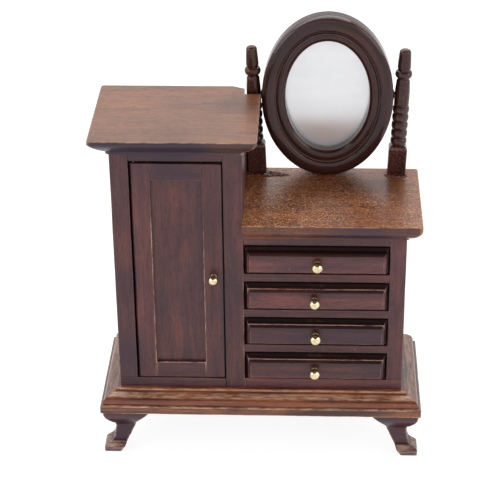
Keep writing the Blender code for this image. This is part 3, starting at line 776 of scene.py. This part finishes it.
def cornice(material):
    low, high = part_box("cornice")
    left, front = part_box("cupboard_side")[0].x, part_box("cupboard_side")[0].y
    right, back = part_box("partition")[1].x, high.y
    pin_low, pin_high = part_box("mirror_pin_left")
    notch = Vector((right - NOTCH_DEPTH, (pin_low.y + pin_high.y) / 2 - NOTCH_AHEAD))
    corners = [(left, front), (right, front), (right, notch.y), notch, (notch.x, back - BEVEL_Y),
               (notch.x - BEVEL_X, back), (left, back)]
    outline = [Vector(c) for c in corners]
    share = (high.x - right) / (left - low.x)
    ovolo = bezier((6.35, -1.1), (6.1, -2.2), (3.6, -4.3), (1.3, -5.8), 10)
    path = [(-2.5, 0), (6.35, 0), (6.35, -1.1), *ovolo, (1.0, -5.95), (1.0, -6.97), (-2.5, -6.97)]
    moulded, square = (1, share, 0, 0, 0, 0, 1), (2, 3, 4, 5)
    top_board("cornice", outline, moulded, path, material, 0.8, 0.05, square)


def lower_top(material):
    low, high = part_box("lower_top")
    front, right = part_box("case_side")[0].y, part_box("case_side")[1].x
    left = low.x - GLUE_REACH / 2
    outline = rectangle(left, front, right, high.y)
    share = (high.x - right) / (front - low.y)
    ovolo = bezier((5.2, -1.7), (4.9, -3.6), (3.3, -5.0), (1.2, -6.3), 10)
    path = [(-2.5, 0), (5.2, 0), (5.2, -1.7), *ovolo, (0.8, -6.4), (0.8, -7.12), (-2.5, -7.12)]
    top_board("lower_top", outline, (1, share, 0, 0), path, material, 0.72, 0.13, (0, 3))


def back_panel(material):
    low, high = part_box("back_panel")
    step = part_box("partition")[1].x
    case_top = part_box("case_side")[1].z
    corners = [(low.x, low.z), (high.x, low.z), (high.x, case_top), (step, case_top),
               (step, high.z), (low.x, high.z)]
    outline = [Vector(c) for c in corners]
    section = flat_section(low.y - GLUE_REACH / 2, high.y, 6, 0.2 * MM, 0.15 * MM, 3 * MM)
    loops = loft(outline, section, 0.2 * MM, 0.15 * MM, 6 * MM, frontal)
    piece("back_panel_sheet", loops, material, "carcass", ["back_panel"], "Z", 0.5)


# --- Knobs ---

def turned(name, profile, place, turns, material, body, nodes, grain="Z", tone=0.5):
    """A turned piece: (radius, height, wear) from end to end; place puts a point in the frame."""
    loops = []
    for radius, height, *wear in profile:
        loops.append([(place(Vector((radius * cos(a), radius * sin(a), height))), sum(wear))
                      for a in circle(turns)])
    piece(name, loops, material, body, nodes, grain, tone, wobble=0.0)


def knob(node, radius, brassy, aside=0.0):
    """A brass ball on a short waisted neck. aside is how far it is off centre."""
    low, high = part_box(node)
    x, z, tip = (low.x + high.x) / 2 + aside, (low.z + high.z) / 2, low.y
    centre = tip + radius
    neck = high.y - KNOB_SPIGOT - centre
    ball = [(radius * sin(a), radius * cos(a)) for a in [radians(3 + 6.5 * k) for k in range(23)]]
    stem = [(0.85, 1.0), (0.8, 0.75), (0.95, 0.5), (1.25, 0.38), (1.3, 0.2), (1.28, -0.05)]
    # The neck's rings carry -1, so their brass is painted brown as shade.
    neck_rings = [(r * MM, h * MM - neck, -1.0) for r, h in stem]
    profile = [*ball, *[ring for ring in neck_rings if ring[1] < ball[-1][1]]]

    def place(p):
        return Vector((x + p.x, centre - p.z, z + p.y))
    turned(f"{node}_ball", profile, place, 40, brassy, body_of(node), [node])


# --- Door ---

def door(case):
    low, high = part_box("door_stile_hinge")
    left, face, back = low.x, low.y, high.y
    half = (back - face) / 2
    stile_x = high.x
    round_edge = arc((left + half, face + half), (half, half), 90, 270, 14)
    outline = [Vector((stile_x, back)), *[Vector(p) for p in round_edge], Vector((stile_x, face))]
    section = flat_section(low.z, high.z, len(outline), 0.2 * MM, 0.14 * MM, 0.9 * MM)
    loops = loft(outline, section, 0.2 * MM, 0.14 * MM, SPACING, upright)
    piece("door_stile_hinge_board", loops, case, "door", ["door_stile_hinge"], "Z",
          0.75, rub_and_shade=case_wear_and_shade)

    c_low, c_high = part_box("door_stile_closing")
    board("door_stile_closing", case, "Z", 0.5, box=(c_low, c_high))
    for node, tone in (("door_rail_top", 0.35), ("door_rail_bottom", 0.45)):
        r_low, r_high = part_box(node)
        r_low.x, r_high.x = stile_x, c_low.x
        board(node, case, "X", tone, box=(r_low, r_high))
    p_low, p_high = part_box("door_panel")
    bottom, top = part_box("door_rail_bottom")[1].z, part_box("door_rail_top")[0].z
    panel = (Vector((stile_x - 0.3 * MM, p_low.y - 0.25 * MM, bottom - 0.3 * MM)),
             Vector((c_low.x + 0.3 * MM, p_high.y, top + 0.3 * MM)))
    board("door_panel", case, "Z", 0.6, box=panel)


# --- Drawers ---

FIELD, LEDGE, OUTER_BEVEL = 0.3, 0.9, 2.3           # millimetres behind the field's face
LEDGE_LOW, BEVEL_LOW, FADED_LOW = 1.6, 2.3, 2.7     # millimetres below the front's upper edge
DRAWER_LIP = 1.8 * MM           # how far a front reaches in behind its case's face
# The ledge's value paints a highlight where the ledge catches light; the field's is the wear of the
# other arrises.
LEDGE_HIGHLIGHT, FIELD_WEAR = 1.9, 0.3


def shade_and_highlight_round_field(loops, field_y, top, lit):
    """Shade is painted round the raised field: black on the outer bevel, dark red over the inner
    one, and fading down the field; an unlit ledge is painted black as well. A lit ledge between the
    bevels gets a painted highlight, and the other arrises a little wear."""
    result = []
    for loop in loops:
        ring = []
        for p, w in loop:
            below, behind = (top - p.z) / MM, (p.y - field_y) / MM
            if behind > OUTER_BEVEL or (below < BEVEL_LOW and behind > LEDGE and not lit):
                w = -0.95
            elif w <= 0 and below < BEVEL_LOW and behind > FIELD:
                w = -0.7
            elif below < FADED_LOW and behind < FIELD:
                w = -0.5
            elif w > 0:
                w = LEDGE_HIGHLIGHT if lit and below < LEDGE_LOW and behind > LEDGE else FIELD_WEAR
            ring.append((p, w))
        result.append(ring)
    return result


def drawer(number, case, raw, tone):
    name = f"drawer_{number}"
    low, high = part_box(f"{name}_front")
    case_y = high.y - DRAWER_LIP
    outline = rectangle(low.x, low.z, high.x, high.z)
    path = [(-4, 1.8), (0, 1.8), (0, 0.6), (-0.95, -0.4), (-1.15, -1.6), (-2.0, -2.8), (-4, -2.8)]
    section = [([p.x * MM] * 4, case_y + p.y * MM, w) for p, w in soften(path, 0.14, 0.12, -1)]
    loops = loft(outline, section, 0.12 * MM, 0.12 * MM, 4 * MM, frontal)
    # The first drawer sits in the lower top's shadow, so its ledge is painted black as shade.
    loops = shade_and_highlight_round_field(loops, low.y, high.z, lit=number > 1)
    piece(f"{name}_front_board", loops, case, name, [f"{name}_front"], "X", tone,
          wobble=0.09 * MM)
    for part, grain in (("side_left", "Y"), ("side_right", "Y"), ("back", "X"), ("bottom", "X")):
        board(f"{name}_{part}", raw, grain, 0.5, radius=0.12 * MM, support=0.1 * MM)


# --- Mirror and posts ---

FRAME_TOP_W, FRAME_SIDE_W = 9.0, 8.05   # from the frame's outer edge to the glass
FRAME_RISE = 0.25 * MM                  # the frame is a little higher and lower than its CAD
FRAME_TURNS = 144


def frame_path():
    """The frame's section: distance in from its outer edge, and depth behind its front face."""
    face = [(0.3, 0.7), (0.7, 0.38), (1.2, 0.15), (1.9, 0.03), (2.6, 0), (3.5, 0.06), (4.3, 0.2),
            (4.9, 0.5)]
    groove = [(5.0, 1.2), (5.5, 1.35)]
    bead = [(5.9, 1.0), (6.4, 0.88), (7.0, 0.85), (7.6, 0.95), (8.2, 1.2), (8.7, 1.65), (9.0, 2.2)]
    rebates = [(9.0, 5.2), (7.4, 5.2), (7.4, 6.4), (6.2, 6.4), (6.2, 7.4)]
    return [(0, 4.0), (0, 1.4), *face, *groove, *bead, *rebates, (0.5, 7.4), (0, 6.9), (0, 4.0)]


def oval(centre, half_w, half_h, y, worn, turns):
    """A loop round an upright oval."""
    return [(Vector((centre.x + half_w * cos(a), y, centre.z + half_h * sin(a))), worn)
            for a in circle(turns)]


def mirror(dark, glass, raw):
    low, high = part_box("mirror_frame")
    centre = (low + high) / 2
    half_w, half_h = (high.x - low.x) / 2, (high.z - low.z) / 2 + FRAME_RISE

    def round_the_glass(p):
        """Turning marks run round the frame, so its grain follows the distance from the middle."""
        x, z = p.x - centre.x / MM, p.z - centre.z / MM
        return Vector((x + z, Vector((x * half_h / half_w, z)).length, p.y))
    loops = []
    for p, w in soften(frame_path(), 0.22, 0.15, 1)[:-1]:
        a, b = half_w - p.x * MM * FRAME_SIDE_W / FRAME_TOP_W, half_h - p.x * MM
        loops.append(oval(centre, a, b, low.y + p.y * MM, w * 0.5, FRAME_TURNS))
    piece("mirror_frame_moulding", loops, dark, "mirror", ["mirror_frame"],
          round_the_glass, 0.5, ring=True)
    oval_disc("mirror_glass_plate", "mirror_glass", glass)
    oval_disc("mirror_back_board", "mirror_back", raw)


def oval_disc(name, node, material):
    """A flat oval plate with bevelled rims."""
    low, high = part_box(node)
    centre, half = (low + high) / 2, (high - low) / 2
    bevel, turns = 0.15 * MM, 96
    steps = ((bevel, low.y), (0, low.y + bevel), (0, high.y - bevel), (bevel, high.y))
    loops = [oval(centre, half.x - inset, half.z - inset, y, 0.0, turns) for inset, y in steps]
    piece(name, loops, material, "mirror", [node], "Z", 0.5, wobble=0.0, crease=20)


POSTS = {                       # block height, barrel length, girth, and the rings' two radii
    "left": (11.5, 9.3, 1.0, (2.2, 2.7)),
    "right": (10.7, 9.2, 1.05, (2.5, 2.87)),
}
POST_SPLAY = radians(2.3)
BLOCK_WIDTH, BLOCK_DEPTH = 6.4, 5.0


def bead(middle, half, core, peak, worn, steps=8):
    """A turned ring, as (radius, height, wear); the pale wear at its crest is partly a painted
    highlight.
    """
    angles = [pi * k / steps for k in range(steps + 1)]
    return [(core + (peak - core) * sin(a), middle - half * cos(a),
             worn if k == steps // 2 else 0.0) for k, a in enumerate(angles)]


def post_profile(block_h, barrel_l, girth, ring_radii):
    """The turned part: radii and heights in millimetres above the lower top, with their wear. The
    rings' crests are paler, partly as painted highlights, and the hollows between them darker,
    partly as painted shade.
    """
    core, peak = ring_radii
    points = []
    for k in range(5):
        middle = block_h + 1.7 + 3.0 * k
        points += [(core - 0.1, middle - 1.4, -0.8), *bead(middle, 1.25, core, peak, 0.8)]
    start = block_h + 15.2
    end = start + barrel_l
    points.append((core, start - 0.15, -0.8))
    upper = []
    for k in range(13):
        share = k / 12
        upper.append((2.45 - 0.25 * share + 0.15 * sin(pi * share), start + barrel_l * share, 0.0))
    upper += [(2.0, end + 0.3, 0.0), (1.95, end + 0.7, -0.5), *bead(end + 2.4, 1.3, 2.0, 2.8, 0.5)]
    upper += [(1.98, end + 4.0, -0.5), (2.2, end + 4.6, 0.0), (2.22, end + 5.2, 0.0),
              (2.1, end + 7.8, 0.0), (1.92, end + 10.2, 0.0)]
    upper += [(r, h, 0.5) for r, h in arc((0, end + 10.3), (1.9, 1.2), 5, 85, 6)]
    return points + [(girth * r, h, worn) for r, h, worn in upper]


def post(label, side, dark):
    """A turned post that grows out of a square block; it leans outwards about its foot."""
    node = f"post_{label}"
    block_h, half_w = POSTS[label][0], BLOCK_WIDTH / 2
    pin_low, pin_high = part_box(f"mirror_pin_{label}")
    low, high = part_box(node)
    axis_y = (pin_low.y + pin_high.y) / 2
    foot_x = (high.x if side < 0 else low.x) + side * half_w * MM
    base_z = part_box("lower_top")[1].z
    near, far = (high.y - axis_y) / MM - BLOCK_DEPTH, (high.y - axis_y) / MM
    middle = (near + far) / 2
    square = outline_points(rectangle(-half_w, near, half_w, far), [5] * 4, 0.3, 0.15)
    angles = [atan2(p.y - middle, p.x) for p, _ in square]

    def place(x, y, h):
        out = x * cos(POST_SPLAY) + side * h * sin(POST_SPLAY)
        up = h * cos(POST_SPLAY) - side * x * sin(POST_SPLAY)
        return Vector((foot_x + out * MM, axis_y + y * MM, base_z + up * MM))
    loops = []
    block = ((1, 0.0, 0), (1, 0.5, 0), (1, block_h / 2, 0), (1, block_h - 1.5, 0),
             (0.98, block_h - 1.0, 0.6), (0.88, block_h - 0.4, 0.4), (0.72, block_h, -0.6))
    for share, h, worn in block:
        loops.append([(place(p.x * share, middle + (p.y - middle) * share, h),
                       extreme(w * 0.7, worn)) for p, w in square])
    for r, h, worn in post_profile(*POSTS[label]):
        loops.append([(place(r * cos(a), r * sin(a), h), worn) for a in angles])
    block_top = base_z + block_h * MM
    piece(f"{node}_turned", loops, dark, "carcass", [node], "Z",
          lambda place: 0.85 if place.z < block_top else 0.6)


SPACER, SPACER_R = 0.16 * MM, 1.8 * MM  # a washer between the mirror and each post
SPACER_GAP = 0.06 * MM                  # between the washer and the frame

POOL_RINGS = (                          # shares of a pool's outline, and of its height
    (1.0, 0.0), (0.96, 0.45), (0.88, 0.8), (0.74, 1.0), (0.58, 0.8), (0.4, 1.0), (0.2, 0.85))
POOL_TURNS = 56
POOL_HEIGHT = 0.5 * MM
POOL_RIPPLE = 0.8 * MM
POOLS = (                               # in millimetres: distance beside the foot, and half sizes
    ("left", 3.2, (8.2, 1.7)),
    ("right", -0.2, (4.4, 1.9)))
GLUE_HEIGHT = 11.2 * MM


def varnish_pool(name, middle, half, height, varnish):
    """A glossy, rippled pool of varnish that has run together round a glued foot."""
    loops = []
    for share, level in POOL_RINGS:
        ring = []
        for a in circle(POOL_TURNS):
            ragged = noise.noise(Vector((2.4 * cos(a), 2.4 * sin(a), middle.x / MM)))
            reach = share * (1 + 0.35 * ragged)
            x, y = half[0] * reach * cos(a), half[1] * reach * sin(a)
            ripple = 1 + 0.9 * noise.noise(Vector((x / POOL_RIPPLE, y / POOL_RIPPLE, share)))
            ring.append((middle + Vector((x, y, level * height * ripple)), 0.0))
        loops.append(ring)
    piece(name, loops, varnish, "carcass", [], "X", 0.6, wobble=0.0)


def glue_and_varnish(dark, varnish):
    """Both posts stand in varnish, and glue joins the left one to the partition."""
    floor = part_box("lower_top")[1].z
    for label, aside, half in POOLS:
        low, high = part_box(f"post_{label}")
        half_block = BLOCK_WIDTH / 2 * MM
        foot_x = high.x - half_block if label == "left" else low.x + half_block
        middle = Vector((foot_x + aside * MM, high.y - (BLOCK_DEPTH + 0.3) * MM, floor - 0.02 * MM))
        varnish_pool(f"varnish_{label}", middle, (half[0] * MM, half[1] * MM), POOL_HEIGHT, varnish)
    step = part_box("partition")[1].x
    low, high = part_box("post_left")
    base = high.x - BLOCK_WIDTH * MM
    outline = [Vector(c) for c in ((step, high.y - 4.2 * MM), (base + 0.4 * MM, high.y - 3.8 * MM),
                                   (base + 0.4 * MM, high.y), (step, high.y))]
    section = flat_section(floor, floor + GLUE_HEIGHT, 4, 0.2 * MM, 0.15 * MM, 0.3 * MM)
    loops = loft(outline, section, 0.15 * MM, 0.1 * MM, 3 * MM, upright)
    piece("glue_left_post", loops, dark, "carcass", [], "Z", 0.3)


def pivot_pin(label, dark):
    node = f"mirror_pin_{label}"
    low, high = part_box(node)
    y, z, r = (low.y + high.y) / 2, (low.z + high.z) / 2, (high.z - low.z) / 2
    length = high.x - low.x

    def place(p):
        return Vector((low.x + p.z, y + p.x, z + p.y))
    profile = [(0.8 * r, 0), (r, 0.2 * r), (r, length - 0.2 * r), (0.8 * r, length)]
    turned(f"{node}_peg", profile, place, 28, dark, "mirror", [node], "X")

    frame_low, frame_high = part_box("mirror_frame")
    if label == "left":
        start = frame_low.x - SPACER - SPACER_GAP - low.x
    else:
        start = frame_high.x + SPACER_GAP - low.x
    rim = [(0.5, 0.0), (0.9, 0.0), (1.0, 0.25), (1.0, 0.75), (0.9, 1.0), (0.5, 1.0)]
    washer = [(SPACER_R * share, start + SPACER * level) for share, level in rim]
    turned(f"mirror_spacer_{label}", washer, place, 28, dark, "mirror", [], "X")


def hinge_pin(label, metal):
    node = f"hinge_pin_{label}"
    low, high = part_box(node)
    x, y, r = (low.x + high.x) / 2, (low.y + high.y) / 2, (high.x - low.x) / 2

    def place(p):
        return Vector((x + p.x, y + p.y, low.z + p.z))
    length = high.z - low.z
    profile = [(0.7 * r, 0), (r, 0.3 * r), (r, length - 0.3 * r), (0.7 * r, length)]
    turned(f"{node}_wire", profile, place, 20, metal, "carcass", [node])


# --- The object ---

def woods():
    """Stained woods for the carcass, plinth, cupboard top, lower top, and mirror with posts."""
    case = stained_wood("case_wood", (0.085, 0.027, 0.035), (0.165, 0.048, 0.041),
                        (0.50, 0.31, 0.23), wear=0.72, fibre=0.36)
    plinth_wood = stained_wood("plinth_wood", (0.09, 0.022, 0.018), (0.40, 0.135, 0.052),
                               (0.60, 0.37, 0.25), wear=0.75, cold=0.15, fibre=0.55,
                               rough=(0.18, 0.3), shine=0.5, pooled_and_shade=(0.13, 0.024, 0.009))
    cup_top = stained_wood("cornice_wood", (0.21, 0.074, 0.034), (0.31, 0.113, 0.045),
                           (0.60, 0.38, 0.26), wear=0.5, cold=0.22, fibre=0.45, pores=0.65,
                           rough=(0.3, 0.42))
    low_top = stained_wood("lower_top_wood", (0.16, 0.038, 0.018), (0.34, 0.092, 0.030),
                           (0.76, 0.36, 0.13), wear=0.42, cold=0.6, flecks_and_glints=0.95, fibre=0.3)
    dark = stained_wood("turned_wood", (0.030, 0.008, 0.006), (0.082, 0.018, 0.011),
                        (0.28, 0.14, 0.09), wear=0.42, rough=(0.08, 0.17), flecks_and_glints=0.26, shine=0.3,
                        coat=0.12)
    return case, plinth_wood, cup_top, low_top, dark


DRAWERS = (                     # number, tone, and how far its knob is off centre in millimetres
    (1, 0.88, 0.23), (2, 0.9, -0.52), (3, 0.3, -0.12), (4, 0.53, -0.23))
DRAWER_KNOB_R, DOOR_KNOB_R = 1.97 * MM, 1.7 * MM


def main():
    noise.seed_set(WOBBLE_SEED)
    bpy.context.scene.view_settings.view_transform = "Standard"
    camera()
    studio()
    case, plinth_wood, cup_top, low_top, dark = woods()
    raw = raw_wood("drawer_wood", (0.32, 0.18, 0.09), (0.17, 0.085, 0.045))
    backing = raw_wood("backing_wood", (0.17, 0.085, 0.045), (0.08, 0.038, 0.024))
    polished = brass("knob_brass", (0.84, 0.73, 0.47), (0.60, 0.47, 0.27), (0.06, 0.15))
    tarnished = brass("pin_brass", (0.16, 0.11, 0.06), (0.07, 0.05, 0.035), (0.4, 0.6))
    glass = mirror_foil("mirror_silver")

    plinth(plinth_wood)
    for end, where in ((-1, "front"), (1, "back")):
        for side, hand in ((-1, "left"), (1, "right")):
            foot(f"{where}_{hand}", side, end, case)
    carcass(case)
    back_panel(backing)
    cornice(cup_top)
    lower_top(low_top)
    door(case)
    for number, tone, aside in DRAWERS:
        drawer(number, case, raw, tone)
        knob(f"drawer_{number}_knob", DRAWER_KNOB_R, polished, aside * MM)
    knob("door_knob", DOOR_KNOB_R, polished)
    mirror(dark, glass, backing)
    for side, label in ((-1, "left"), (1, "right")):
        post(label, side, dark)
        pivot_pin(label, dark)
    glue_and_varnish(dark, pooled_varnish("varnish"))
    for label in ("top", "bottom"):
        hinge_pin(label, tarnished)


main()
